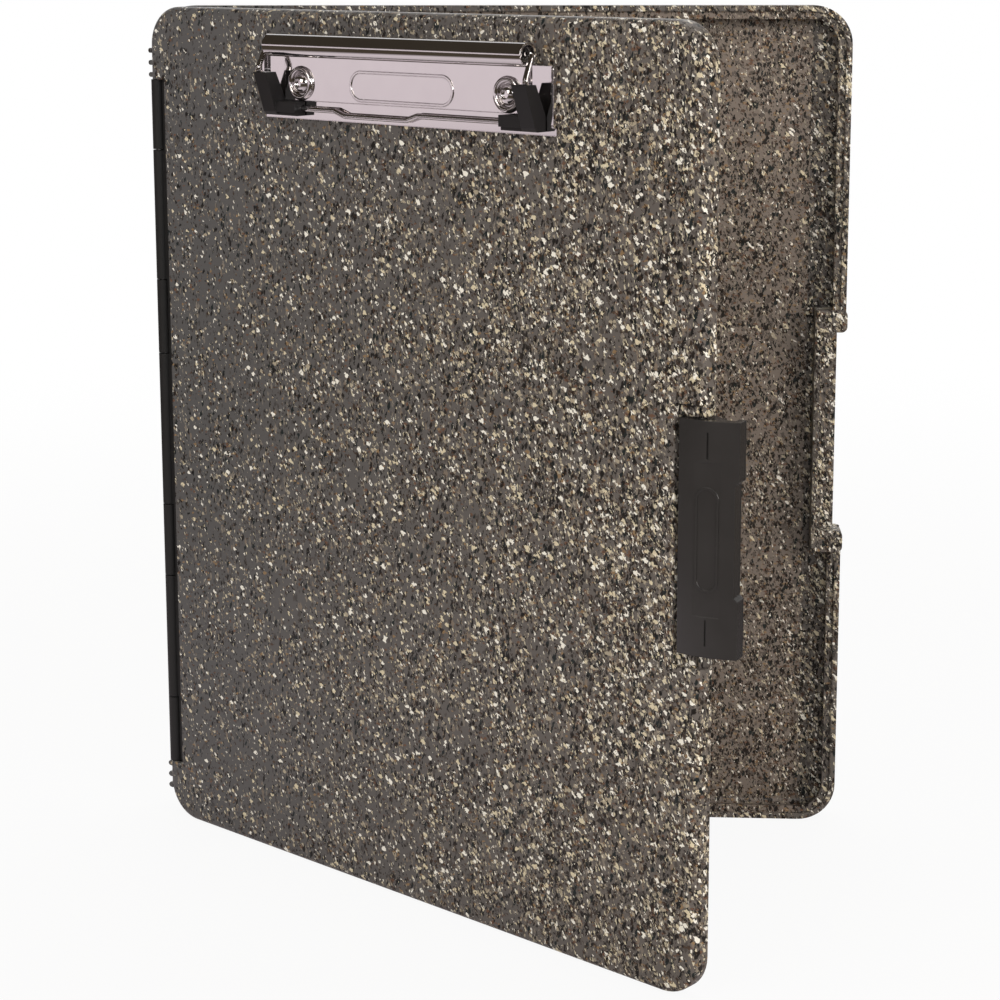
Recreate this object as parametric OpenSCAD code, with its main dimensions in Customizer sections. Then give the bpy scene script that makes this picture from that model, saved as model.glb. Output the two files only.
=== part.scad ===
// Storage clipboard box: a shallow tray and a cover, joined by a barrel hinge down the left edge.
// The box stands open on its bottom edges. The cover carries the paper clip and the side latch.
// Frame: +Z up the long side, +X from the hinge to the latch edge, -Y towards whoever opens it.
// The origin is the middle of the tray's bottom wall, on the surface that the box stands on.

/* [Case] */
// Width of the closed case
case_w = 262; // [250:1:280]
// Height of the case
case_h = 317.5; // [305:0.5:330]
// Radius of the case's four corners
corner_r = 14.5; // [12:0.5:20]
// Depth of the cover, from its face to the parting line
lid_depth = 8; // [7.5:0.1:10]
// Depth of the tray, from the parting line to its back
tray_depth = 12.5; // [12:0.1:18]
// Thickness of the side walls
wall_t = 2.2; // [1.8:0.1:2.6]
// Thickness of the cover's face and of the tray's floor
panel_t = 2; // [1.6:0.1:2.2]
// Rounding of the outer edges
edge_r = 3.2; // [2.6:0.1:3.6]
// Gap between the closed cover and the tray
parting_gap = 0.3; // [0.2:0.05:0.5]
// Width of the ledge inside the tray's rim
ledge_w = 2.8; // [2:0.1:3.5]
// Drop from the rim to the ledge
ledge_drop = 1.2; // [0.8:0.1:1.6]
// Thickness of the ledge
ledge_t = 1.6; // [1.2:0.1:2]

/* [Hinge] */
// Angle at which the cover stands open
open_angle = 38.5; // [20:0.5:90]
// Distance of the hinge axis from the case's left side
hinge_inset = 2; // [1.8:0.1:2.4]
// Depth of the hinge axis below the cover's face
hinge_sink = 2.7; // [2.6:0.1:3]
// Radius of the hinge barrel
barrel_r = 2.6; // [2.4:0.1:2.7]
// Radius of the hinge pin
hinge_pin_r = 1; // [0.8:0.1:1.2]
// Running clearance around the hinge pin
pin_fit = 0.05; // [0.03:0.01:0.08]
// Height of the hinge's lower end
hinge_z = 22; // [20:0.5:24]
// Lengths of the end, long and short knuckles
end_knuckle = 26.5; // [24:0.5:28]
long_knuckle = 49.5; // [44:0.5:50]
short_knuckle = 28.5; // [26:0.5:30]
// Distance from the case's top to the hinge's upper end
hinge_top_gap = 27; // [26:0.5:36]
// Gap between two knuckles
knuckle_gap = 0.4; // [0.3:0.05:0.6]
// Gap between the barrel and what it turns beside
barrel_gap = 0.4; // [0.3:0.05:0.5]
// Distance from the axis to the edge of the cover's hinge notch
notch_reach = 6.5; // [6:0.1:8]
// Thickness of the hinge leaves
leaf_t = 2; // [1.6:0.1:2]
// Width of the leaf under the cover's face
lid_leaf_w = 20; // [16:0.5:26]
// Width of the leaf down the tray's side
tray_leaf_w = 12; // [10:0.5:13]
// Radius, thickness and spacing of the ribs beyond the hinge's ends
rib_r = 3.6; // [3.2:0.1:4]
rib_t = 1.8; // [1.4:0.1:2.2]
rib_pitch = 4.5; // [4:0.1:5]

/* [Latch] */
// Height of the middle of the latch
latch_z = 156; // [140:1:170]
// Length of the latch
latch_len = 76.5; // [70:0.5:90]
// Angle between the latch as it hangs open and its closed place
latch_angle = 75; // [60:1:85]
// Inset of the latch's pin from the case's side
latch_pin_inset = 4.5; // [4.2:0.1:4.8]
// Depth of the latch's pin below the cover's face
latch_pin_sink = 5.7; // [5.5:0.1:5.9]
// Radius of the latch's pin
latch_pin_r = 0.8; // [0.6:0.1:1]
// Thickness of the latch's wall
latch_t = 2.4; // [2:0.1:2.4]
// Bulge of the latch's outer face
latch_bulge = 1.5; // [1:0.1:1.8]
// Reach of the latch's hook
hook_reach = 5.4; // [5:0.1:5.6]
// Room between the latch's hook and the tray wall behind it
hook_room = 3.9; // [0.5:0.1:4.5]
// Clearance around the closed latch
latch_gap = 0.35; // [0.3:0.05:0.5]
// Gap at each end of the latch
latch_end_gap = 0.5; // [0.4:0.05:1]
// Length of the ears that hold the latch's pin
ear_len = 4; // [3.5:0.1:5]
// Drop from the cover's face to the ears
ear_drop = 2; // [1.5:0.1:2.2]
// Inset of the cover's pocket wall from the case's side
pocket_inset = 10.5; // [10.3:0.1:11.5]
// Length of the cheek at each end of the tray's latch notch
cheek_len = 8.5; // [6:0.5:10]
// Bulge of the cheeks beyond the case's side
cheek_bulge = 0.6; // [0.3:0.1:0.8]
// Thickness of the tray's catch
catch_t = 2.2; // [1.8:0.1:2.4]

/* [Clip] */
// Distance of the clip's middle from the case's left side
clip_x = 134.5; // [128:0.5:138]
// Distance of the rolled bar's axis from the cover's top edge
clip_drop = 12; // [11.5:0.5:20]
// Width of the clip's plate over its side flanges
plate_w = 137; // [132:0.5:142]
// Distance from the bar's axis to the plate's lower edge
plate_h = 26; // [25.5:0.5:29]
// Height of the plate's raised middle above its margin
plate_rise = 1.2; // [0.8:0.1:1.6]
// Radius of the rolled bar
bar_r = 4; // [3.8:0.1:4.4]
// Thickness of the plate's sheet steel
sheet_t = 1; // [0.8:0.05:1.2]
// Height and length of the low side flanges
flange_h = 2.6; // [2.3:0.1:4]
flange_len = 20; // [17:0.5:21]
// Distance from the bar's end to the middle of the bail's leg beside it
bar_end_gap = 1.6; // [1.4:0.1:3]
// Distance between the rivets
rivet_pitch = 97.5; // [90:0.5:104]
// Distance from the bar's axis down to the rivets
rivet_drop = 13.3; // [12.5:0.1:13.3]
// Radius of the rivets' shanks
shank_r = 2; // [1.6:0.1:2.4]
// Radius of the spring wire
wire_r = 1; // [0.8:0.05:1.1]
// Distance from the plate's side to the middle of the bail's knee
leg_inset = 5.6; // [5:0.1:6.4]
// Distance that the bail's legs draw in above and below the knees
leg_splay = 0.6; // [0.3:0.1:0.8]
// Height of the bail's knees above the cover's face
knee_h = 9.9; // [9:0.1:11]
// Distance from the bar's axis to the knees
knee_drop = 8.3; // [8:0.1:9]
// Distance from the bar's axis to the bail's bottom run
jaw_drop = 22.2; // [22.1:0.1:23]
// Width of the rubber grips
grip_w = 6.3; // [5.5:0.1:7.5]
// Length of the grips along the bottom run
grip_len = 16; // [12:0.5:22]

/* [Hidden] */
$fn = 64;
tiny = 0.01;

// Every piece is drawn lying flat: X from the hinge axis, Y up the case, Z out of the cover's face.
face_z = hinge_sink;
lid_rim_z = face_z - lid_depth;
tray_rim_z = lid_rim_z - parting_gap;
back_z = lid_rim_z - tray_depth;
left_x = -hinge_inset;
right_x = case_w - hinge_inset;

hinge_top = case_h - hinge_top_gap;
hinge_len = hinge_top - hinge_z;

// Hinge knuckles, from the lower end up. The tray has the first, and they take turns.
mid_knuckle = hinge_len - 2 * (end_knuckle + long_knuckle + short_knuckle);
knuckles = [end_knuckle, long_knuckle, short_knuckle, mid_knuckle, short_knuckle, long_knuckle,
            end_knuckle];
function knuckle_y(i) = i == 0 ? hinge_z : knuckle_y(i - 1) + knuckles[i - 1];
lid_wall_x = notch_reach + wall_t;
leaf_top_z = face_z - panel_t;
rib_gap = 1.6;
rib_count = 3;

// Latch, in its closed place
latch_x = right_x - latch_pin_inset;
latch_pin_z = face_z - latch_pin_sink;
hook_t = 2.4;
hub_r = latch_pin_r + 1.4;
latch_end = latch_len / 2;
notch_end = latch_end + latch_end_gap;
recess_end = notch_end + ear_len;
pocket_x = right_x - pocket_inset;
case_depth = face_z - back_z;
slit_len = 8.5;
slit_w = 0.6;
slit_depth = 0.6;
scoop_len = 36;
scoop_depth = 1.3;
panel_len = 50;
panel_depth = 0.3;
latch_frame_len = 34;
latch_frame_w = 8;

// The tray's catch, which the hook closes under
catch_x = right_x - latch_t - latch_gap;
catch_top_z = back_z + hook_t + latch_gap + catch_t;
catch_pocket_z = back_z + hook_t + latch_gap;
hook_x = right_x - hook_reach;
catch_wall_x = hook_x - hook_room - wall_t;
web_x = catch_wall_x + wall_t + latch_gap;
web_t = 2;
cheek_r = 2.2;

// Clip, drawn from the bar's axis with Z from the cover's face
grip_clear = 0.3;
grip_t = 5;
grip_skin = 0.8;
clip_cx = clip_x - hinge_inset;
clip_cy = case_h - clip_drop;
plate_top = sheet_t + plate_rise;
bar_h = bar_r + plate_top - 0.3;
jaw_h = sheet_t + wire_r + 0.3;
bar_wall = 0.9;
plate_half = plate_w / 2;
leg_x = plate_half - leg_inset;
side_x = leg_x - leg_splay;
bar_len = 2 * (side_x - bar_end_gap);
grip_outer_x = side_x + wire_r + grip_skin;
grip_inner_x = grip_outer_x - grip_w;
plateau_half = grip_inner_x - 2 * grip_clear;
rivet_head_r = 3.7;
dimple_r = 1.5;
collar_r = 6;
collar_wide = 2;
collar_h = 1.4;
rivet_fit = 0.05;
wire_fit = 0.05;
wire_sides = 16;
bend_r = 1.2;
bend_steps = 4;
corner_swell = 1.04;
dip_x = -12;
dip_len = 30;
dip_run = 5;
dip_depth = 1.6;
flange_r = 1.1;
flange_foot = 2.5;
frame_w = 49;
frame_h = 10.5;
frame_line = 0.8;
emboss = 0.35;
washer_r = 5.5;
washer_t = 0.8;
spring_wire_r = 0.4;
spring_r = 2.2;
spring_turns = 5;
spring_pitch = 1.1;

black_plastic = "#2b2a2b";
granite = "#57524c";
chrome = "#c9c5c6";
rubber = "#1d1c1e";
steel = "#8d8e92";

// Stands the flat drawing up and puts the origin under the middle of the tray's bottom wall.
module stand() {
    translate([hinge_inset - case_w / 2, (lid_rim_z + back_z) / 2, 0])
        rotate([90, 0, 0])
            children();
}

module on_lid() {
    stand()
        rotate([0, -open_angle, 0])
            children();
}

module on_latch() {
    on_lid()
        translate([latch_x, 0, latch_pin_z])
            rotate([0, -latch_angle, 0])
                translate([-latch_x, 0, -latch_pin_z])
                    children();
}

module on_face() {
    on_lid()
        translate([clip_cx, clip_cy, face_z])
            children();
}

// A box from its lowest to its highest corner
module block(low, high) {
    translate(low)
        cube(high - low);
}

// A round bar along Y between two heights
module rod(x, z, r, low, high) {
    translate([x, high, z])
        rotate([90, 0, 0])
            cylinder(h = high - low, r = r);
}

// Sweeps a wall section round the case. The section's X is the distance in from the outer side.
module swept_wall() {
    straight_w = case_w - 2 * corner_r;
    straight_h = case_h - 2 * corner_r;
    translate([left_x + case_w / 2, case_h / 2, 0]) {
        for (side = [0, 1]) {
            rotate([0, 0, side * 180])
                translate([-case_w / 2, straight_h / 2, 0])
                    rotate([90, 0, 0])
                        linear_extrude(straight_h)
                            children();
            rotate([0, 0, side * 180])
                translate([-straight_w / 2, -case_h / 2, 0])
                    rotate([90, 0, 90])
                        linear_extrude(straight_w)
                            children();
        }
        for (sx = [-1, 1], sy = [-1, 1]) {
            translate([sx * straight_w / 2, sy * straight_h / 2, 0])
                rotate([0, 0, sx > 0 ? (sy > 0 ? 0 : 270) : (sy > 0 ? 90 : 180)])
                    rotate_extrude(angle = 90)
                        translate([corner_r, 0])
                            mirror([1, 0])
                                children();
        }
    }
}

// Fills the middle of a panel, inside the swept corners
module panel_middle(low, high) {
    block([left_x + corner_r, corner_r, low], [right_x - corner_r, case_h - corner_r, high]);
}

module lid_section() {
    difference() {
        union() {
            translate([edge_r, lid_rim_z])
                square([corner_r - edge_r, lid_depth]);
            translate([0, lid_rim_z + 1])
                square([edge_r, lid_depth - 1 - edge_r]);
            translate([edge_r, face_z - edge_r])
                circle(edge_r);
            polygon([[1, lid_rim_z], [edge_r, lid_rim_z], [edge_r, lid_rim_z + 1],
                     [0, lid_rim_z + 1]]);
        }
        inner_r = edge_r - panel_t;
        translate([wall_t + inner_r, lid_rim_z - 1])
            square([corner_r, lid_depth - panel_t + 1]);
        translate([wall_t, lid_rim_z - 1])
            square([inner_r + tiny, lid_depth - panel_t - inner_r + 1]);
        translate([wall_t + inner_r, leaf_top_z - inner_r])
            circle(inner_r);
    }
}

module tray_section() {
    floor_z = back_z + panel_t;
    ledge_top = tray_rim_z - ledge_drop;
    difference() {
        union() {
            translate([edge_r, back_z])
                square([corner_r - edge_r, tray_rim_z - back_z]);
            translate([0, back_z + edge_r])
                square([edge_r, tray_rim_z - back_z - edge_r]);
            translate([edge_r, back_z + edge_r])
                circle(edge_r);
        }
        translate([wall_t + edge_r, floor_z])
            square([corner_r, case_h]);
        translate([wall_t, floor_z + edge_r])
            square([corner_r, case_h]);
        translate([wall_t + edge_r, floor_z + edge_r])
            circle(edge_r);
    }
    polygon([[wall_t - tiny, ledge_top], [wall_t + ledge_w, ledge_top],
             [wall_t + ledge_w, ledge_top - ledge_t], [wall_t - tiny, ledge_top - ledge_t - 1]]);
}

// Round-nosed ribs beyond each end of the hinge, turned about its axis
module end_ribs() {
    for (side = [-1, 1], i = [0 : rib_count - 1]) {
        rib_y = side < 0 ? hinge_z - rib_gap - i * rib_pitch : hinge_top + rib_gap + i * rib_pitch;
        intersection() {
            translate([0, rib_y, 0])
                rotate([90, 0, 0])
                    rotate_extrude()
                        union() {
                            translate([0, -rib_t / 2])
                                square([rib_r - rib_t / 2, rib_t]);
                            translate([rib_r - rib_t / 2, 0])
                                intersection() {
                                    circle(rib_t / 2);
                                    translate([0, -rib_t])
                                        square(2 * rib_t);
                                }
                        }
            block([-2 * rib_r, rib_y - rib_t, -2 * rib_r],
                  [left_x + wall_t / 2, rib_y + rib_t, face_z - edge_r / 4]);
        }
    }
}

module tray_shell() {
    floor_z = back_z + panel_t;
    color(granite)
        stand() {
            difference() {
                union() {
                    swept_wall()
                        tray_section();
                    panel_middle(back_z, floor_z);
                    // The wall steps in behind the hinge leaf.
                    block([left_x + leaf_t, hinge_z - wall_t, floor_z - tiny],
                          [left_x + leaf_t + wall_t, hinge_top + wall_t, tray_rim_z]);
                    // Foot of the latch notch
                    block([catch_wall_x, latch_z - notch_end - cheek_len, back_z],
                          [right_x - edge_r, latch_z + notch_end + cheek_len, back_z + edge_r]);
                }
                block([right_x - wall_t - tiny, latch_z - notch_end - cheek_r, back_z + edge_r],
                      [right_x + 1, latch_z + notch_end + cheek_r, tray_rim_z + 1]);
                // Seat of the hinge leaf
                block([left_x - 1, hinge_z - knuckle_gap, tray_rim_z - tray_leaf_w - knuckle_gap],
                      [left_x + leaf_t, hinge_top + knuckle_gap, tray_rim_z + 1]);
                block([catch_wall_x + wall_t, latch_z - notch_end, back_z - 1],
                      [right_x + 1, latch_z + notch_end, tray_rim_z + 1]);
            }
            // The cheeks, the stepped-in wall and the catch of the latch notch
            for (side = [-1, 1]) {
                cheek_y = side < 0 ? -notch_end - cheek_len : notch_end;
                translate([0, latch_z + cheek_y, back_z + edge_r - tiny])
                    linear_extrude(tray_rim_z - back_z - edge_r + tiny)
                        cheek_outline(catch_wall_x);
            }
            block([catch_wall_x, latch_z - notch_end - tiny, floor_z - tiny],
                  [catch_wall_x + wall_t, latch_z + notch_end + tiny, tray_rim_z]);
            block([catch_wall_x + tiny, latch_z - notch_end - tiny, catch_pocket_z],
                  [catch_x, latch_z + notch_end + tiny, catch_top_z]);
        }
}

// Plan of a cheek, with its outer corners rounded
module cheek_outline(inner_x) {
    outer_x = right_x + cheek_bulge;
    translate([inner_x, 0])
        square([outer_x - cheek_r - inner_x, cheek_len]);
    translate([inner_x, cheek_r])
        square([outer_x - inner_x, cheek_len - 2 * cheek_r]);
    for (corner_y = [cheek_r, cheek_len - cheek_r]) {
        translate([outer_x - cheek_r, corner_y])
            circle(cheek_r);
    }
}

module lid_shell() {
    ear_top_z = face_z - ear_drop;
    color(granite)
        on_lid() {
            difference() {
                union() {
                    swept_wall()
                        lid_section();
                    panel_middle(leaf_top_z, face_z);
                    end_ribs();
                    // Wall along the hinge notch, under the leaf
                    block([notch_reach, hinge_z - wall_t, lid_rim_z],
                          [lid_wall_x, hinge_top + wall_t, leaf_top_z]);
                    for (end_y = [hinge_z - wall_t, hinge_top]) {
                        block([left_x + wall_t / 2, end_y, lid_rim_z + 1],
                              [lid_wall_x, end_y + wall_t, leaf_top_z + tiny]);
                    }
                    // Pocket wall and ears round the latch
                    block([pocket_x - wall_t, latch_z - recess_end - wall_t, lid_rim_z],
                          [right_x - edge_r, latch_z + recess_end + wall_t, leaf_top_z + tiny]);
                }
                // Hinge notch, with the seat of the leaf under the face
                block([left_x - rib_r, hinge_z, lid_rim_z - 1],
                      [notch_reach, hinge_top, face_z + 1]);
                block([left_x - rib_r, hinge_z, leaf_top_z - leaf_t],
                      [lid_wall_x + lid_leaf_w, hinge_top, leaf_top_z]);
                // Recess over the ears, and the latch's own space
                block([pocket_x, latch_z - recess_end, ear_top_z],
                      [right_x + 2, latch_z + recess_end, face_z + 1]);
                block([pocket_x, latch_z - notch_end, lid_rim_z - 1],
                      [right_x + 2, latch_z + notch_end, face_z + 1]);
                rod(latch_x, latch_pin_z, latch_pin_r, latch_z - recess_end + 0.5,
                    latch_z + recess_end - 0.5);
                // Rounds the ears about the pin
                for (ear_y = [latch_z - recess_end, latch_z + notch_end]) {
                    difference() {
                        block([latch_x, ear_y, latch_pin_z],
                              [right_x + 2, ear_y + ear_len, face_z + 1]);
                        rod(latch_x, latch_pin_z, ear_top_z - latch_pin_z, ear_y - 1,
                            ear_y + ear_len + 1);
                    }
                }
                for (side = [-1, 1]) {
                    translate([clip_cx + side * rivet_pitch / 2, clip_cy - rivet_drop, 0])
                        cylinder(h = 2 * case_depth, r = shank_r + rivet_fit, center = true);
                }
            }
        }
}

// One side's knuckles, every second one from the given first
module knuckle_row(first) {
    for (i = [first : 2 : len(knuckles) - 1]) {
        rod(0, 0, barrel_r, knuckle_y(i) + knuckle_gap / 2, knuckle_y(i + 1) - knuckle_gap / 2);
    }
}

// Room for the other side's knuckles
module knuckle_relief(first) {
    for (i = [first : 2 : len(knuckles) - 1]) {
        rod(0, 0, barrel_r + barrel_gap, knuckle_y(i) - knuckle_gap / 2,
            knuckle_y(i + 1) + knuckle_gap / 2);
    }
}

module hinge_leaf_tray() {
    color(black_plastic)
        stand()
            difference() {
                union() {
                    difference() {
                        block([left_x, hinge_z, tray_rim_z - tray_leaf_w],
                              [left_x + leaf_t, hinge_top, 0]);
                        knuckle_relief(1);
                    }
                    knuckle_row(0);
                }
                rod(0, 0, hinge_pin_r + pin_fit, hinge_z - 1, hinge_top + 1);
            }
}

module hinge_leaf_lid() {
    color(black_plastic)
        on_lid()
            difference() {
                union() {
                    difference() {
                        block([0, hinge_z + knuckle_gap, leaf_top_z - leaf_t],
                              [notch_reach + lid_leaf_w, hinge_top - knuckle_gap, leaf_top_z]);
                        knuckle_relief(0);
                    }
                    knuckle_row(1);
                }
                rod(0, 0, hinge_pin_r + pin_fit, hinge_z - 1, hinge_top + 1);
            }
}

module hinge_pin() {
    color(steel)
        stand()
            rod(0, 0, hinge_pin_r, hinge_z + 0.5, hinge_top - 0.5);
}

// Section of the latch in its closed place, drawn in X and Z
module latch_section() {
    chord = case_depth;
    arc_r = (chord * chord / 4 + latch_bulge * latch_bulge) / (2 * latch_bulge);
    mid_z = (face_z + back_z) / 2;
    difference() {
        union() {
            translate([right_x - latch_t, back_z])
                square([latch_t, chord]);
            intersection() {
                translate([right_x + latch_bulge - arc_r, mid_z])
                    circle(arc_r, $fn = 180);
                translate([right_x - tiny, back_z])
                    square([2 * latch_bulge, chord]);
            }
            translate([hook_x, back_z])
                square([hook_reach, hook_t]);
            translate([latch_x, latch_pin_z])
                circle(hub_r);
            translate([latch_x, latch_pin_z - hub_r])
                square([latch_pin_inset - tiny, 2 * hub_r]);
        }
        translate([latch_x, latch_pin_z])
            circle(latch_pin_r + pin_fit);
    }
}

// The web that closes each end of the latch, from the hub down to the tray's catch
module latch_web() {
    difference() {
        polygon([[right_x - latch_t + tiny, latch_pin_z + hub_r / 2],
                 [latch_x, latch_pin_z + hub_r / 2], [web_x, latch_pin_z], [web_x, lid_rim_z],
                 [catch_x, catch_top_z + latch_gap],
                 [right_x - latch_t + tiny, catch_top_z + latch_gap]]);
        translate([latch_x, latch_pin_z])
            circle(latch_pin_r + pin_fit);
    }
}

// Plain oval outline, used for the raised frames
module oval_ring(length, width, line) {
    difference() {
        oval(length, width);
        oval(length - 2 * line, width - 2 * line);
    }
}

module oval(length, width) {
    for (side = [-1, 1]) {
        translate([side * (length - width) / 2, 0])
            circle(width / 2);
    }
    square([length - width, width], center = true);
}

module latch() {
    mid_z = (face_z + back_z) / 2;
    outer_x = right_x + latch_bulge;
    color(black_plastic)
        on_latch() {
            difference() {
                union() {
                    translate([0, latch_z + latch_end, 0])
                        rotate([90, 0, 0])
                            linear_extrude(latch_len)
                                latch_section();
                    for (side = [-1, 1]) {
                        translate([0, latch_z + side * (latch_end - web_t / 2) + web_t / 2, 0])
                            rotate([90, 0, 0])
                                linear_extrude(web_t)
                                    latch_web();
                    }
                }
                // Scoop for a finger in the free edge
                translate([0, latch_z, back_z])
                    rotate([0, 90, 0])
                        linear_extrude(2 * right_x)
                            polygon([[1, -scoop_len / 2 - scoop_depth],
                                     [0, -scoop_len / 2 - scoop_depth],
                                     [-scoop_depth, -scoop_len / 2],
                                     [-scoop_depth, scoop_len / 2],
                                     [0, scoop_len / 2 + scoop_depth],
                                     [1, scoop_len / 2 + scoop_depth]]);
                // Shallow panel and the slits at its ends
                block([outer_x - panel_depth, latch_z - panel_len / 2, mid_z - latch_frame_w / 2 - 1.5],
                      [outer_x + 1, latch_z + panel_len / 2, mid_z + latch_frame_w / 2 + 1.5]);
                for (side = [-1, 1]) {
                    translate([0, latch_z + side * (panel_len + slit_len + 2) / 2, mid_z])
                        block([outer_x - slit_depth, -slit_len / 2, -slit_w / 2],
                              [outer_x + 1, slit_len / 2, slit_w / 2]);
                }
            }
            // Plain raised frame in the panel
            translate([outer_x - panel_depth - tiny, latch_z, mid_z])
                rotate([90, 0, 90])
                    linear_extrude(panel_depth)
                        oval_ring(latch_frame_len, latch_frame_w, frame_line);
        }
}

module latch_pin() {
    color(steel)
        on_lid()
            rod(latch_x, latch_pin_z, latch_pin_r, latch_z - recess_end + 0.7,
                latch_z + recess_end - 0.7);
}

// Domed collar pressed up round a rivet
module collar() {
    rotate_extrude()
        difference() {
            translate([collar_r - collar_wide / 2, collar_h - collar_wide / 2])
                circle(collar_wide / 2);
            translate([0, -collar_wide])
                square([collar_r + 1, collar_wide]);
        }
}

// The clip's sheet-steel plate, with its rolled bar, flanges and raised middle
module clip_plate() {
    lower_y = -plate_h;
    flange_y = lower_y + flange_foot;
    plateau_y = -jaw_drop + grip_t / 2 + grip_clear;
    seam_gap = 0.9;
    color(chrome)
        on_face() {
            difference() {
                union() {
                    block([-plate_half, lower_y, 0], [plate_half, flange_y + flange_len, sheet_t]);
                    block([-plateau_half, plateau_y, 0], [plateau_half, 0, plate_top]);
                    for (side = [-1, 1]) {
                        flange_x = side < 0 ? -plate_half : plate_half - sheet_t;
                        block([flange_x, flange_y, 0],
                              [flange_x + sheet_t, flange_y + flange_len, flange_h - flange_r]);
                        block([flange_x, flange_y + flange_r, 0],
                              [flange_x + sheet_t, flange_y + flange_len - flange_r, flange_h]);
                        for (corner_y = [flange_y + flange_r, flange_y + flange_len - flange_r]) {
                            translate([flange_x, corner_y, flange_h - flange_r])
                                rotate([0, 90, 0])
                                    cylinder(h = sheet_t, r = flange_r);
                        }
                        translate([side * rivet_pitch / 2, -rivet_drop, plate_top - tiny])
                            collar();
                    }
                    translate([-bar_len / 2, 0, bar_h])
                        rotate([0, 90, 0])
                            cylinder(h = bar_len, r = bar_r);
                    translate([0, -rivet_drop, plate_top - tiny])
                        linear_extrude(emboss)
                            oval_ring(frame_w, frame_h, frame_line);
                }
                // Underside of the raised middle
                block([-plateau_half + sheet_t, plateau_y + sheet_t, -1],
                      [plateau_half - sheet_t, -sheet_t, plate_rise]);
                translate([-bar_len / 2 - 1, 0, bar_h])
                    rotate([0, 90, 0])
                        cylinder(h = bar_len + 2, r = bar_r - bar_wall);
                // Seam of the roll, and the rivets' holes
                block([-bar_len / 2 - 1, -bar_r - 1, plate_top + seam_gap],
                      [bar_len / 2 + 1, -bar_r / 2, plate_top + 2 * seam_gap]);
                for (side = [-1, 1]) {
                    translate([side * rivet_pitch / 2, -rivet_drop, -1])
                        cylinder(h = 3 * plate_top, r = shank_r + rivet_fit);
                }
            }
        }
}

module clip_rivets() {
    tail_z = -panel_t - washer_t;
    color(chrome)
        on_face()
            for (side = [-1, 1]) {
                translate([side * rivet_pitch / 2, -rivet_drop, 0])
                    rotate_extrude()
                        difference() {
                            union() {
                                translate([0, tail_z - 0.8])
                                    square([shank_r + 1.4, 0.8]);
                                translate([0, tail_z - tiny])
                                    square([shank_r, -tail_z + plate_top + tiny]);
                                translate([0, plate_top])
                                    intersection() {
                                        square(rivet_head_r);
                                        translate([0, -rivet_head_r * 0.55])
                                            circle(rivet_head_r * 1.14);
                                    }
                            }
                            translate([0, plate_top + 1])
                                square([dimple_r, rivet_head_r]);
                            translate([-2 * case_depth, -case_depth])
                                square([2 * case_depth, 2 * case_depth]);
                        }
            }
}

module rivet_washers() {
    color(steel)
        on_face()
            for (side = [-1, 1]) {
                translate([side * rivet_pitch / 2, -rivet_drop, -panel_t - washer_t])
                    difference() {
                        cylinder(h = washer_t, r = washer_r);
                        translate([0, 0, -1])
                            cylinder(h = washer_t + 2, r = shank_r + rivet_fit);
                    }
            }
}

// The bail's path: the run in the bar, the legs and the dipped bottom run
bail_path = [[-side_x, 0, bar_h], [-leg_x, -knee_drop, knee_h], [-side_x, -jaw_drop, jaw_h],
             [dip_x - dip_len / 2 - dip_run, -jaw_drop, jaw_h],
             [dip_x - dip_len / 2, -jaw_drop - dip_depth, jaw_h],
             [dip_x + dip_len / 2, -jaw_drop - dip_depth, jaw_h],
             [dip_x + dip_len / 2 + dip_run, -jaw_drop, jaw_h],
             [side_x, -jaw_drop, jaw_h], [leg_x, -knee_drop, knee_h], [side_x, 0, bar_h]];

function unit(v) = v / norm(v);

// The places along one bend, each with the wire's direction there
function bend(before, corner, after) =
    let (inward = unit(corner - before), onward = unit(after - corner),
         turn = acos(inward * onward),
         across = unit(onward - inward * (inward * onward)),
         start = corner - inward * bend_r * tan(turn / 2))
    [for (i = [0 : bend_steps])
        let (a = turn * i / bend_steps)
        [start + bend_r * (sin(a) * inward + (1 - cos(a)) * across),
         cos(a) * inward + sin(a) * across]];

function wire_ring(place, direction) =
    let (beside = unit(cross(direction, [0, 0, 1])), above = cross(beside, direction))
    [for (k = [0 : wire_sides - 1])
        let (a = 360 * k / wire_sides)
        place + wire_r * (cos(a) * beside + sin(a) * above)];

module clip_bail() {
    count = len(bail_path);
    stations = [for (i = [0 : count - 1])
        each bend(bail_path[(i + count - 1) % count], bail_path[i], bail_path[(i + 1) % count])];
    points = [for (station = stations) each wire_ring(station[0], station[1])];
    total = len(points);
    skin = [for (i = [0 : wire_sides : total - 1], k = [0 : wire_sides - 1])
        [i + k, i + (k + 1) % wire_sides,
         (i + wire_sides + (k + 1) % wire_sides) % total, (i + wire_sides + k) % total]];
    color(chrome)
        on_face()
            polyhedron(points, skin);
}

// Room for a straight stretch of the bail
module channel(from, to) {
    run = to - from;
    flat = norm([run[0], run[1]]);
    translate(from)
        rotate([0, atan2(flat, run[2]), atan2(run[1], run[0])])
            cylinder(h = norm(run), r = wire_r + wire_fit);
}

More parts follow.
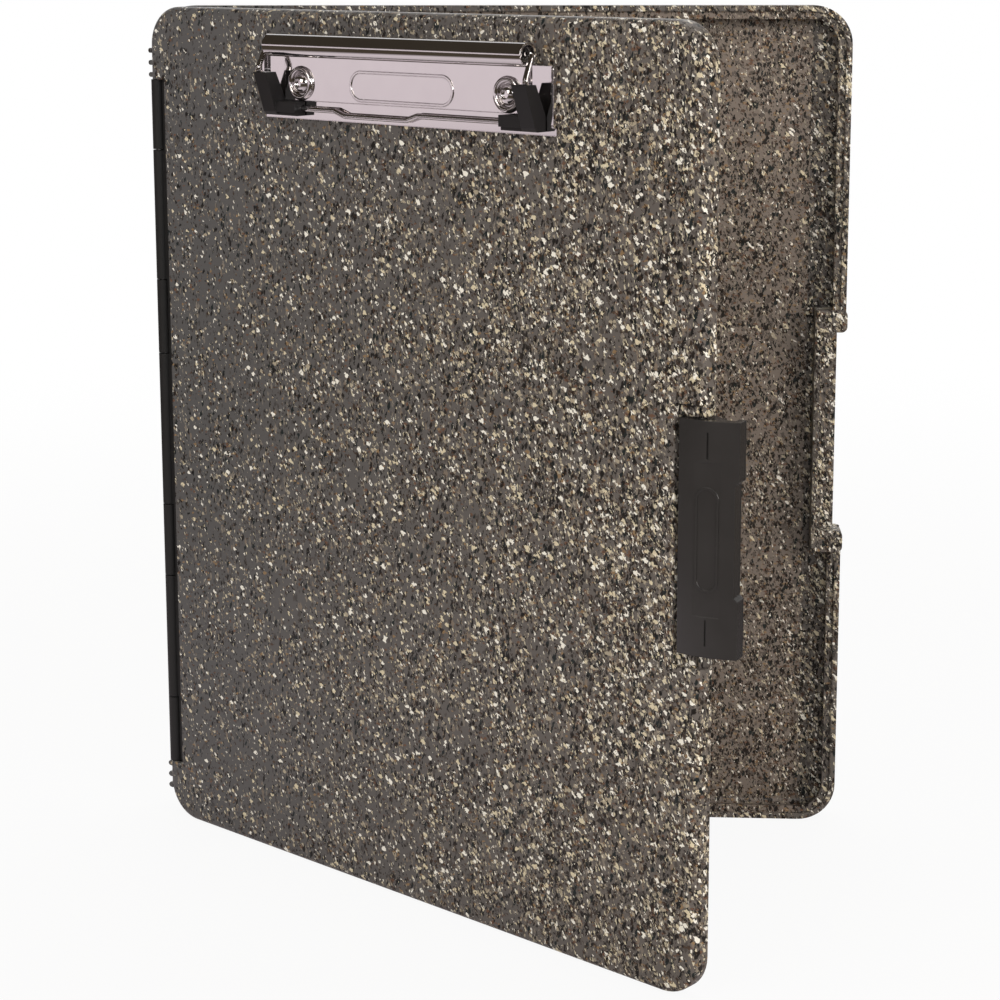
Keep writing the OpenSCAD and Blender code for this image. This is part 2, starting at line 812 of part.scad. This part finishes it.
// A rubber grip over one lower corner of the bail, drawn on the right-hand side
module grip(side) {
    foot_y = -jaw_drop - grip_t / 2;
    top_y = -knee_drop - 1.2;
    foot_h = sheet_t + grip_clear + grip_t;
    top_h = knee_h + grip_skin + 0.3;
    chamfer = 1.2;
    knee = [leg_x, -knee_drop, knee_h];
    jaw = [side_x, -jaw_drop, jaw_h];
    color(rubber)
        on_face()
            mirror([side < 0 ? 1 : 0, 0, 0])
                difference() {
                    union() {
                        translate([grip_inner_x, 0, 0])
                            rotate([90, 0, 90])
                                linear_extrude(grip_w)
                                    polygon([[foot_y + tiny, sheet_t + grip_clear],
                                             [foot_y + tiny, foot_h - chamfer],
                                             [foot_y + chamfer, foot_h], [top_y, top_h],
                                             [top_y, top_h - grip_t],
                                             [-jaw_drop + grip_t / 2, sheet_t + grip_clear]]);
                        block([grip_outer_x - grip_len, foot_y, sheet_t + grip_clear],
                              [grip_outer_x - tiny, foot_y + grip_t, foot_h - chamfer]);
                        block([grip_outer_x - grip_len, foot_y + chamfer, sheet_t + grip_clear],
                              [grip_outer_x - tiny, foot_y + grip_t, foot_h]);
                    }
                    channel(knee, jaw);
                    channel(jaw, [0, -jaw_drop, jaw_h]);
                    translate(jaw)
                        sphere((wire_r + wire_fit) * corner_swell);
                }
}

// A short torsion spring wound round the bail inside the rolled bar
function coil_ring(angle) =
    let (centre = [spring_pitch * angle / 360, spring_r * cos(angle), spring_r * sin(angle)])
    [for (a = [0 : 45 : 315])
        centre + spring_wire_r * [sin(a), cos(a) * cos(angle), cos(a) * sin(angle)]];

module coil() {
    step = 20;
    rings = spring_turns * 360 / step;
    points = [for (i = [0 : rings]) each coil_ring(i * step)];
    sides = 8;
    skin = [for (i = [0 : rings - 1], k = [0 : sides - 1])
        [i * sides + k, i * sides + (k + 1) % sides, (i + 1) * sides + (k + 1) % sides,
         (i + 1) * sides + k]];
    polyhedron(points, concat(skin, [[for (k = [sides - 1 : -1 : 0]) k],
                                     [for (k = [0 : sides - 1]) rings * sides + k]]));
}

module spring(side) {
    color(steel)
        on_face()
            mirror([side < 0 ? 1 : 0, 0, 0])
                translate([bar_len / 2 - spring_turns * spring_pitch - 1, 0, bar_h])
                    coil();
}

module clip_spring_left() { spring(-1); }
module clip_spring_right() { spring(1); }
module clip_grip_left() { grip(-1); }
module clip_grip_right() { grip(1); }

tray_shell();
lid_shell();
hinge_leaf_tray();
hinge_leaf_lid();
hinge_pin();
latch();
latch_pin();
clip_plate();
clip_rivets();
rivet_washers();
clip_bail();
clip_spring_left();
clip_spring_right();
clip_grip_left();
clip_grip_right();
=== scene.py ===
import math
import bpy
from mathutils import Matrix, Vector

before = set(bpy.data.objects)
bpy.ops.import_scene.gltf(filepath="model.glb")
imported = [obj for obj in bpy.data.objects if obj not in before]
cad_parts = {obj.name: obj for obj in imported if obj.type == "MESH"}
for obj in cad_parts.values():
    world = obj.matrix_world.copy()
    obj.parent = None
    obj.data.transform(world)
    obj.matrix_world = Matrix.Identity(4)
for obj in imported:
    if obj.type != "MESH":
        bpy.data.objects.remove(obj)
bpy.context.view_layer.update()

print("storage clipboard: frame loaded")

millimetre = 0.001
white = (1, 1, 1, 1)
colourA, colourB = 6, 7  # the inputs of a colour mix
numberA, numberB = 2, 3  # and of a number mix
edgeSamples = 4  # rays that round an edge's shading


def toLinear(hexColour):
    parts = [int(hexColour[i:i + 2], 16) / 255 for i in (1, 3, 5)]
    return [p / 12.92 if p <= 0.04045 else ((p + 0.055) / 1.055) ** 2.4 for p in parts] + [1.0]


def addNode(tree, kind, settings=None, links=None):
    # A setting is a property of the node, or one of its inputs by name or number.
    node = tree.nodes.new(kind)
    for key, value in (settings or {}).items():
        if isinstance(key, int) or key in node.inputs:
            node.inputs[key].default_value = value
        else:
            setattr(node, key, value)
    for key, socket in (links or {}).items():
        tree.links.new(socket, node.inputs[key])
    return node


def newMaterial(name):
    material = bpy.data.materials.new(name)
    material.use_nodes = True
    material.node_tree.nodes.clear()
    return material, material.node_tree


bpy.context.scene.view_settings.view_transform = "Standard"

# Place and clip start in metres, turns in degrees, lens and sensor in millimetres
cameraSet = {
    "place": (0.0546, -0.90035, 0.3410), "clipStart": 0.05,
    "yaw": 3.53, "pitch": -10.48, "roll": 0.12,
    "lens": 85.31, "sensor": 36, "shiftY": -0.12,
}


def makeCamera(values):
    data = bpy.data.cameras.new("camera")
    data.sensor_width = values["sensor"]
    data.lens = values["lens"]
    data.shift_y = values["shiftY"]
    data.clip_start = values["clipStart"]
    camera = bpy.data.objects.new("camera", data)
    bpy.context.scene.collection.objects.link(camera)
    turn = (Matrix.Rotation(math.radians(values["yaw"]), 3, "Z")
            @ Matrix.Rotation(math.radians(values["pitch"]), 3, "X")
            @ Matrix.Rotation(math.radians(values["roll"]), 3, "Y"))
    right, forward, up = turn.col[0], turn.col[1], turn.col[2]
    axes = Matrix((right, up, -forward)).transposed()
    camera.matrix_world = Matrix.Translation(values["place"]) @ axes.to_4x4()
    bpy.context.scene.camera = camera


makeCamera(cameraSet)

studio = {
    "floorSize": 14.0, "floorDrop": 0.0002, "floorColour": "#d9d6d4",
    # The camera sees the floor's share of pure white rise to 1 between two distances in metres.
    "whiteNear": 0.92, "nearReach": 0.30, "farReach": 1.1,
    "fillStrength": 0.57,
    # What polished metal sees: a pale room on the left and a dark one on the right, with the
    # spread of the change between them, in the air and in metres on the floor
    "leftRoom": "#e6dade", "rightRoom": "#2b2725", "airSpread": 0.45, "floorSpread": 0.6,
    # White behind and a dark ceiling: where each begins and is full, in the direction's y and z
    "behindRoom": "#ffffff", "behindFrom": 0.68, "behindFull": 0.80,
    "ceiling": "#39332b", "ceilingFrom": 0.01, "ceilingFull": 0.06,
    # A dark ring that the floor glows with for reflections only, a painted reflection, in metres
    # from the middle: where it begins and has its full shade, and where it still has it and ends
    "paintedReflectionRing": "#4a4238", "ringStart": (0.4, 0.6), "ringEnd": (2.88, 3.52),
    "lampAim": (-0.02, -0.06, 0.16),
    "lamps": [
        # name, place, size, power, colour
        ("keyLamp", (-1.2, -1.5, 1.0), 0.9, 8.6, "#fff6ee"),
        ("sideLamp", (1.5, -1.3, 0.7), 0.9, 17, "#fff8f2"),
        ("frontLamp", (0.30, -1.9, 0.80), 0.5, 6, "#ffffff"),
        ("topLamp", (0.1, 0.5, 1.7), 0.9, 7, "#ffffff"),
    ],
}


def sideRoom(tree, values, sideways, spread):
    # Pale where the sideways value is below minus the spread, and dark above it
    share = addNode(tree, "ShaderNodeMapRange",
                    {"interpolation_type": "SMOOTHSTEP", "From Min": -spread, "From Max": spread},
                    {"Value": sideways})
    return addNode(tree, "ShaderNodeMix",
                   {"data_type": "RGBA", colourA: toLinear(values["leftRoom"]),
                    colourB: toLinear(values["rightRoom"])}, {0: share.outputs[0]}).outputs[2]


def makeWorld(values):
    world = bpy.data.worlds.new("studio")
    bpy.context.scene.world = world
    world.use_nodes = True
    tree = world.node_tree
    tree.nodes.clear()
    path = addNode(tree, "ShaderNodeLightPath")
    where = addNode(tree, "ShaderNodeTexCoord")
    split = addNode(tree, "ShaderNodeSeparateXYZ", None, {0: where.outputs["Generated"]})
    rise = addNode(tree, "ShaderNodeMapRange",
                   {"From Min": values["ceilingFrom"], "From Max": values["ceilingFull"]},
                   {"Value": split.outputs[2]})
    sides = sideRoom(tree, values, split.outputs[0], values["airSpread"])
    walls = addNode(tree, "ShaderNodeMix",
                    {"data_type": "RGBA", colourB: toLinear(values["ceiling"])},
                    {0: rise.outputs[0], colourA: sides})
    behind = addNode(tree, "ShaderNodeMapRange",
                     {"From Min": values["behindFrom"], "From Max": values["behindFull"]},
                     {"Value": split.outputs[1]})
    room = addNode(tree, "ShaderNodeMix",
                   {"data_type": "RGBA", colourB: toLinear(values["behindRoom"])},
                   {0: behind.outputs[0], colourA: walls.outputs[2]})
    mirror = addNode(tree, "ShaderNodeMath", {"operation": "MAXIMUM"},
                     {0: path.outputs["Is Glossy Ray"], 1: path.outputs["Is Transmission Ray"]})
    fill = addNode(tree, "ShaderNodeBackground",
                   {"Color": white, "Strength": values["fillStrength"]})
    seenInMetal = addNode(tree, "ShaderNodeBackground", {"Strength": 1.0},
                          {"Color": room.outputs[2]})
    backdrop = addNode(tree, "ShaderNodeBackground", {"Color": white, "Strength": 1.0})
    first = addNode(tree, "ShaderNodeMixShader", None,
                    {0: mirror.outputs[0], 1: fill.outputs[0], 2: seenInMetal.outputs[0]})
    second = addNode(tree, "ShaderNodeMixShader", None,
                     {0: path.outputs["Is Camera Ray"], 1: first.outputs[0],
                      2: backdrop.outputs[0]})
    addNode(tree, "ShaderNodeOutputWorld", None, {0: second.outputs[0]})


def makeFloor(values):
    half = values["floorSize"] / 2
    mesh = bpy.data.meshes.new("floor")
    mesh.from_pydata([(-half, -half, 0), (half, -half, 0), (half, half, 0), (-half, half, 0)],
                     [], [(0, 1, 2, 3)])
    floor = bpy.data.objects.new("floor", mesh)
    floor.location.z = -values["floorDrop"]
    bpy.context.scene.collection.objects.link(floor)
    material, tree = newMaterial("paleStudioFloor")
    path = addNode(tree, "ShaderNodeLightPath")
    where = addNode(tree, "ShaderNodeTexCoord")
    paint = addNode(tree, "ShaderNodeBsdfDiffuse", {"Color": toLinear(values["floorColour"])})
    glow = addNode(tree, "ShaderNodeEmission", {"Color": white, "Strength": 1.0})
    away = addNode(tree, "ShaderNodeVectorMath", {"operation": "LENGTH"},
                   {0: where.outputs["Object"]})
    fade = addNode(tree, "ShaderNodeMapRange",
                   {"interpolation_type": "SMOOTHSTEP", "From Min": values["nearReach"],
                    "From Max": values["farReach"], "To Min": values["whiteNear"]},
                   {"Value": away.outputs["Value"]})
    share = addNode(tree, "ShaderNodeMath", {"operation": "MULTIPLY"},
                    {0: path.outputs["Is Camera Ray"], 1: fade.outputs[0]})
    direct = addNode(tree, "ShaderNodeMixShader", None,
                     {0: share.outputs[0], 1: paint.outputs[0], 2: glow.outputs[0]})
    # For reflections the floor glows instead of being lit: a painted reflection of a pale room on
    # the left, a dark one on the right and a dark ring
    split = addNode(tree, "ShaderNodeSeparateXYZ", None, {0: where.outputs["Object"]})
    begins, beginsFull = values["ringStart"]
    endsFull, ends = values["ringEnd"]
    fromStart = addNode(tree, "ShaderNodeMapRange",
                        {"From Min": begins, "From Max": beginsFull},
                        {"Value": away.outputs["Value"]})
    toEnd = addNode(tree, "ShaderNodeMapRange", {"From Min": ends, "From Max": endsFull},
                    {"Value": away.outputs["Value"]})
    ring = addNode(tree, "ShaderNodeMath", {"operation": "MULTIPLY"},
                   {0: fromStart.outputs[0], 1: toEnd.outputs[0]})
    sides = sideRoom(tree, values, split.outputs[0], values["floorSpread"])
    seen = addNode(tree, "ShaderNodeMix",
                   {"data_type": "RGBA", colourB: toLinear(values["paintedReflectionRing"])},
                   {0: ring.outputs[0], colourA: sides})
    inMetal = addNode(tree, "ShaderNodeEmission", {"Strength": 1.0}, {"Color": seen.outputs[2]})
    mirror = addNode(tree, "ShaderNodeMath", {"operation": "MAXIMUM"},
                     {0: path.outputs["Is Glossy Ray"], 1: path.outputs["Is Transmission Ray"]})
    both = addNode(tree, "ShaderNodeMixShader", None,
                   {0: mirror.outputs[0], 1: direct.outputs[0], 2: inMetal.outputs[0]})
    addNode(tree, "ShaderNodeOutputMaterial", None, {0: both.outputs[0]})
    floor.data.materials.append(material)


def makeLamps(values):
    aim = Vector(values["lampAim"])
    for name, place, size, power, colour in values["lamps"]:
        data = bpy.data.lights.new(name, "AREA")
        data.size = size
        data.energy = power
        data.color = toLinear(colour)[:3]
        lamp = bpy.data.objects.new(name, data)
        lamp.location = place
        lamp.rotation_euler = (aim - Vector(place)).to_track_quat("-Z", "Y").to_euler()
        bpy.context.scene.collection.objects.link(lamp)


makeWorld(studio)
makeFloor(studio)
makeLamps(studio)
print("storage clipboard: camera and studio made")

# Moulded smoke-grey resin filled with stone-coloured chips: the surface is smooth and satin, the
# chips near it are crisp, and the ones sunk deeper are dimmed by the resin over them.
graniteChips = {
    "resin": "#605a55", "resinPale": "#6a635d", "resinAtHinge": "#585655",
    # The inside's two resin colours are painted light: the same resin, painted paler and browner
    # to brighten the hollow that the cover shades
    "insideResinPaintedLight": "#766b62", "insidePalePaintedLight": "#84796e",
    "cloudMm": 24.0, "cloudDetail": 3.0,  # width of the flow marks in the resin
    "roughness": (0.29, 0.40), "ior": 1.49, "specular": 0.22,
    "edgeMm": 0.9,  # the radius that the mould leaves on every edge
    # Grain, detail and size in millimetres of the bends in the chips' outlines
    "wobbleMm": 0.9, "wobbleDetail": 1.0, "wobble": 1.0,
    "shard": (1.5, 0.5, 0.9),  # a chip's length, thickness and width against its cell
    # A mould's spark grain is near 0.05 mm, too fine to show, so it is drawn this coarse.
    "grainMm": 0.35, "grainDetail": 2.0, "grainHeightMm": 0.01, "grainBump": 0.5,
    # The filling is denser towards the free edges: its share and the chips' size near the
    # hinge, away from it, and for the size also inside, with both distances in metres
    "hingeShare": 0.72, "edgeShare": 1.28,
    "hingeSize": 0.84, "edgeSize": 1.12, "insideSize": 0.90,
    "nearHinge": 0.03, "awayFromHinge": 0.25,
    # It also drifts with the flow marks: by how much, and between which of their values
    "drift": 0.9, "driftFrom": 0.3, "driftTo": 0.7,
    "sizePower": 2.0,  # above 1, most chips are small and a few are large
    # name, cell in mm, least and most radius in cells, share outside, share inside,
    # colours, strength, turn
    "layers": [
        ("sunkDark", 2.4, 0.50, 1.00, 0.34, 0.60, ("#35312d", "#423c36", "#3b342d"), 0.58, 11),
        ("sunkPale", 2.1, 0.45, 0.90, 0.26, 0.24, ("#8a8072", "#9a8e7d", "#8f7d68"), 0.50, 47),
        ("brown", 1.9, 0.40, 0.95, 0.20, 0.46, ("#46311f", "#6a4a35", "#8f7350"), 0.80, 83),
        ("dark", 2.1, 0.40, 1.05, 0.40, 0.60, ("#110e0c", "#1c1815", "#172020"), 0.95, 29),
        ("pale", 2.0, 0.34, 1.05, 0.24, 0.09, ("#a89c86", "#d6c9aa", "#f1ecdf"), 0.96, 65),
        ("darkFine", 1.25, 0.40, 1.00, 0.40, 0.72, ("#14110e", "#26201b", "#3a2b20"), 0.90, 120),
        ("paleFine", 1.1, 0.36, 1.00, 0.22, 0.16, ("#9a907e", "#cfc4a8", "#f0eadb"), 0.92, 152),
    ],
}
hingeLine = (-0.129, -0.01155, 0)  # the hinge pin's place on the floor, in metres


def graniteMaterial(name, values, hollow):
    material, tree = newMaterial(name)
    where = addNode(tree, "ShaderNodeTexCoord")
    inMm = addNode(tree, "ShaderNodeVectorMath",
                   {"operation": "SCALE", "Scale": 1 / millimetre},
                   {0: where.outputs["Object"]})
    # 1 in the hollow, where the resin is painted paler as painted light on the hollow that the
    # cover shades, and fewer pale chips show
    centre, half = hollow
    fromMiddle = addNode(tree, "ShaderNodeVectorMath", {"operation": "SUBTRACT", 1: centre},
                         {0: where.outputs["Object"]})
    reach = addNode(tree, "ShaderNodeVectorMath", {"operation": "ABSOLUTE"},
                    {0: fromMiddle.outputs[0]})
    scaled = addNode(tree, "ShaderNodeVectorMath", {"operation": "DIVIDE", 1: half},
                     {0: reach.outputs[0]})
    parts = addNode(tree, "ShaderNodeSeparateXYZ", None, {0: scaled.outputs[0]})
    wide = addNode(tree, "ShaderNodeMath", {"operation": "MAXIMUM"},
                   {0: parts.outputs[0], 1: parts.outputs[1]})
    most = addNode(tree, "ShaderNodeMath", {"operation": "MAXIMUM"},
                   {0: wide.outputs[0], 1: parts.outputs[2]})
    inside = addNode(tree, "ShaderNodeMath", {"operation": "LESS_THAN", 1: 1.0},
                     {0: most.outputs[0]})
    cloud = addNode(tree, "ShaderNodeTexNoise",
                    {"Scale": 1 / values["cloudMm"], "Detail": values["cloudDetail"]},
                    {"Vector": inMm.outputs[0]})
    outer = addNode(tree, "ShaderNodeMix",
                    {"data_type": "RGBA", colourA: toLinear(values["resin"]),
                     colourB: toLinear(values["resinPale"])}, {0: cloud.outputs["Fac"]})
    # The hollow's resin: painted light, the same resin painted paler and browner to brighten the
    # shaded hollow
    innerPaintedLight = addNode(tree, "ShaderNodeMix",
                    {"data_type": "RGBA", colourA: toLinear(values["insideResinPaintedLight"]),
                     colourB: toLinear(values["insidePalePaintedLight"])}, {0: cloud.outputs["Fac"]})
    # 0 near the hinge and 1 towards the free edge
    along = addNode(tree, "ShaderNodeVectorMath", {"operation": "SUBTRACT", 1: hingeLine},
                    {0: where.outputs["Object"]})
    flat = addNode(tree, "ShaderNodeVectorMath", {"operation": "MULTIPLY", 1: (1, 1, 0)},
                   {0: along.outputs[0]})
    apart = addNode(tree, "ShaderNodeVectorMath", {"operation": "LENGTH"}, {0: flat.outputs[0]})
    across = addNode(tree, "ShaderNodeMapRange",
                     {"From Min": values["nearHinge"], "From Max": values["awayFromHinge"]},
                     {"Value": apart.outputs["Value"]})
    outside = addNode(tree, "ShaderNodeMix",
                      {"data_type": "RGBA", colourA: toLinear(values["resinAtHinge"])},
                      {0: across.outputs[0], colourB: outer.outputs[2]})
    colour = addNode(tree, "ShaderNodeMix", {"data_type": "RGBA"},
                     {0: inside.outputs[0], colourA: outside.outputs[2],
                      colourB: innerPaintedLight.outputs[2]}).outputs[2]
    # More chips and larger ones away from the hinge, in drifts
    crowd = addNode(tree, "ShaderNodeMapRange",
                    {"To Min": values["hingeShare"], "To Max": values["edgeShare"]},
                    {"Value": across.outputs[0]})
    growth = addNode(tree, "ShaderNodeMapRange",
                     {"To Min": values["hingeSize"], "To Max": values["edgeSize"]},
                     {"Value": across.outputs[0]})
    chipSize = addNode(tree, "ShaderNodeMix",
                       {"data_type": "FLOAT", numberB: values["insideSize"]},
                       {0: inside.outputs[0], numberA: growth.outputs[0]})
    drift = addNode(tree, "ShaderNodeMapRange",
                    {"From Min": values["driftFrom"], "From Max": values["driftTo"],
                     "To Min": 1 - values["drift"] / 2, "To Max": 1 + values["drift"] / 2},
                    {"Value": cloud.outputs["Fac"]})
    density = addNode(tree, "ShaderNodeMath", {"operation": "MULTIPLY"},
                      {0: crowd.outputs[0], 1: drift.outputs[0]})
    # Bends the space a little, so that the chips' outlines are broken like crushed stone
    bend = addNode(tree, "ShaderNodeTexNoise",
                   {"Scale": 1 / values["wobbleMm"], "Detail": values["wobbleDetail"]},
                   {"Vector": inMm.outputs[0]})
    bent = addNode(tree, "ShaderNodeVectorMath",
                   {"operation": "MULTIPLY_ADD", 1: [values["wobble"]] * 3},
                   {0: bend.outputs["Color"], 2: inMm.outputs[0]})
    for layer, cell, least, largest, outShare, inShare, chipColours, strength, turn in \
            values["layers"]:
        place = addNode(tree, "ShaderNodeMapping",
                        {"Rotation": [math.radians(turn * k) for k in (1, 2, 3)],
                         "Location": (turn, 2 * turn, 3 * turn), "Scale": values["shard"],
                         "vector_type": "TEXTURE"},
                        {"Vector": bent.outputs[0]})
        chip = addNode(tree, "ShaderNodeTexVoronoi",
                       {"label": layer, "distance": "MANHATTAN", "Scale": 1 / cell,
                        "Randomness": 1.0},
                       {"Vector": place.outputs[0]})
        dice = addNode(tree, "ShaderNodeSeparateColor", None, {0: chip.outputs["Color"]})
        share = addNode(tree, "ShaderNodeMix",
                        {"data_type": "FLOAT", numberA: outShare, numberB: inShare},
                        {0: inside.outputs[0]})
        wanted = addNode(tree, "ShaderNodeMath", {"operation": "MULTIPLY"},
                         {0: share.outputs[0], 1: density.outputs[0]})
        chosen = addNode(tree, "ShaderNodeMath", {"operation": "LESS_THAN"},
                         {0: dice.outputs[0], 1: wanted.outputs[0]})
        size = addNode(tree, "ShaderNodeMath", {"operation": "POWER", 1: values["sizePower"]},
                       {0: dice.outputs[1]})
        radius = addNode(tree, "ShaderNodeMath",
                         {"operation": "MULTIPLY_ADD", 1: largest - least, 2: least},
                         {0: size.outputs[0]})
        reachOut = addNode(tree, "ShaderNodeMath", {"operation": "MULTIPLY"},
                           {0: radius.outputs[0], 1: chipSize.outputs[0]})
        body = addNode(tree, "ShaderNodeMath", {"operation": "LESS_THAN"},
                       {0: chip.outputs["Distance"], 1: reachOut.outputs[0]})
        mask = addNode(tree, "ShaderNodeMath", {"operation": "MULTIPLY"},
                       {0: chosen.outputs[0], 1: body.outputs[0]})
        weight = addNode(tree, "ShaderNodeMath", {"operation": "MULTIPLY", 1: strength},
                         {0: mask.outputs[0]})
        ramp = addNode(tree, "ShaderNodeValToRGB", None, {0: dice.outputs[2]})
        ramp.color_ramp.interpolation = "CONSTANT"
        while len(ramp.color_ramp.elements) < len(chipColours):
            ramp.color_ramp.elements.new(0.5)
        for i, chipColour in enumerate(chipColours):
            ramp.color_ramp.elements[i].position = i / len(chipColours)
            ramp.color_ramp.elements[i].color = toLinear(chipColour)
        colour = addNode(tree, "ShaderNodeMix", {"data_type": "RGBA"},
                         {0: weight.outputs[0], colourA: colour,
                          colourB: ramp.outputs[0]}).outputs[2]
    grain = addNode(tree, "ShaderNodeTexNoise",
                    {"Scale": 1 / values["grainMm"], "Detail": values["grainDetail"]},
                    {"Vector": inMm.outputs[0]})
    edge = addNode(tree, "ShaderNodeBevel",
                   {"samples": edgeSamples, "Radius": values["edgeMm"] * millimetre})
    bump = addNode(tree, "ShaderNodeBump",
                   {"Strength": values["grainBump"],
                    "Distance": values["grainHeightMm"] * millimetre},
                   {"Height": grain.outputs["Fac"], "Normal": edge.outputs[0]})
    smoothest, dullest = values["roughness"]
    shine = addNode(tree, "ShaderNodeMapRange", {"To Min": smoothest, "To Max": dullest},
                    {"Value": cloud.outputs["Fac"]})
    plastic = addNode(tree, "ShaderNodeBsdfPrincipled",
                      {"IOR": values["ior"], "Specular IOR Level": values["specular"]},
                      {"Base Color": colour, "Roughness": shine.outputs[0],
                       "Normal": bump.outputs[0]})
    addNode(tree, "ShaderNodeOutputMaterial", None, {0: plastic.outputs[0]})
    return material


# patternMm is the width of the change in shade, shine and height, and edgeMm an edge's radius.
finishes = {
    # Moulded black polypropylene: satin, with a faint grain and a slight change of shade.
    # The grain is near 0.1 mm, too fine to show, so it is drawn as coarse as 3 mm.
    "blackHinge": {"colour": "#141413", "shade": "#1b1b1a", "metallic": 0.0, "roughness": 0.5,
                   "ior": 1.49, "patternMm": 3.0, "bumpMm": 0.01, "edgeMm": 0.3},
    # Moulded smoke-black polycarbonate: smoother, so it takes a soft shine over long flow marks
    "blackLatch": {"colour": "#292726", "shade": "#343231", "metallic": 0.0, "roughness": 0.22,
                   "ior": 1.58, "patternMm": 14.0, "bumpMm": 0.004, "edgeMm": 0.3},
    # Bright nickel-chrome plate on pressed steel: a near mirror with the press's slight waves
    "chromePlate": {"colour": "#dedadb", "shade": "#e6e3e3", "metallic": 1.0, "roughness": 0.06,
                    "ior": 1.5, "patternMm": 9.0, "bumpMm": 0.004, "edgeMm": 0.35},
    # Drawn spring steel: grey, with marks from the die that are drawn coarser than they are
    "drawnSteel": {"colour": "#9b9a98", "shade": "#b0afad", "metallic": 1.0, "roughness": 0.25,
                   "ior": 1.5, "patternMm": 1.2, "bumpMm": 0.005, "edgeMm": 0.1},
    # Moulded synthetic rubber: dull black with a soft shine, its grain drawn coarse enough to show
    "blackRubber": {"colour": "#151314", "shade": "#1e1c1d", "metallic": 0.0, "roughness": 0.45,
                    "ior": 1.52, "patternMm": 1.5, "bumpMm": 0.02, "edgeMm": 0.5},
}
# The same for all of them, with the smoothest and dullest places against the roughness
surfacePattern = {"detail": 4.0, "bump": 0.6, "smoothest": 0.85, "dullest": 1.2}


def finishMaterial(name, values):
    material, tree = newMaterial(name)
    where = addNode(tree, "ShaderNodeTexCoord")
    inMm = addNode(tree, "ShaderNodeVectorMath",
                   {"operation": "SCALE", "Scale": 1 / millimetre},
                   {0: where.outputs["Object"]})
    pattern = addNode(tree, "ShaderNodeTexNoise",
                      {"Scale": 1 / values["patternMm"], "Detail": surfacePattern["detail"]},
                      {"Vector": inMm.outputs[0]})
    colour = addNode(tree, "ShaderNodeMix",
                     {"data_type": "RGBA", colourA: toLinear(values["colour"]),
                      colourB: toLinear(values["shade"])}, {0: pattern.outputs["Fac"]})
    shine = addNode(tree, "ShaderNodeMapRange",
                    {"To Min": values["roughness"] * surfacePattern["smoothest"],
                     "To Max": values["roughness"] * surfacePattern["dullest"]},
                    {"Value": pattern.outputs["Fac"]})
    edge = addNode(tree, "ShaderNodeBevel",
                   {"samples": edgeSamples, "Radius": values["edgeMm"] * millimetre})
    bump = addNode(tree, "ShaderNodeBump",
                   {"Strength": surfacePattern["bump"],
                    "Distance": values["bumpMm"] * millimetre},
                   {"Height": pattern.outputs["Fac"], "Normal": edge.outputs[0]})
    surface = addNode(tree, "ShaderNodeBsdfPrincipled",
                      {"Metallic": values["metallic"], "IOR": values["ior"]},
                      {"Base Color": colour.outputs[2], "Roughness": shine.outputs[0],
                       "Normal": bump.outputs[0]})
    addNode(tree, "ShaderNodeOutputMaterial", None, {0: surface.outputs[0]})
    return material


def paint(node, material):
    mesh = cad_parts[node].data
    mesh.materials.clear()
    mesh.materials.append(material)
    for face in mesh.polygons:
        face.material_index = 0


# The box with the inside's mix of resin and chips, its paler resin being painted light: its middle
# and half its size, in metres.
# The cover has the outside's mix all over, so its box is a small one far away from it.
trayHollow = ((-0.006, -0.004, 0.15875), (0.1229, 0.0094, 0.1566))
lidHollow = ((0.0, 5.0, 0.15875), (0.001, 0.001, 0.001))
graniteTray = graniteMaterial("graniteTrayPlastic", graniteChips, trayHollow)
graniteLid = graniteMaterial("graniteLidPlastic", graniteChips, lidHollow)
made = {name: finishMaterial(name, values) for name, values in finishes.items()}
nodeFinish = {
    "tray_shell": graniteTray, "lid_shell": graniteLid,
    "hinge_leaf_tray": made["blackHinge"], "hinge_leaf_lid": made["blackHinge"],
    "hinge_pin": made["drawnSteel"], "latch_pin": made["drawnSteel"],
    "latch": made["blackLatch"], "clip_plate": made["chromePlate"],
    "clip_rivets": made["chromePlate"], "rivet_washers": made["drawnSteel"],
    "clip_bail": made["chromePlate"], "clip_spring_left": made["drawnSteel"],
    "clip_spring_right": made["drawnSteel"], "clip_grip_left": made["blackRubber"],
    "clip_grip_right": made["blackRubber"],
}
for nodeName, finish in nodeFinish.items():
    paint(nodeName, finish)
print("storage clipboard: materials made")

print("storage clipboard: done")
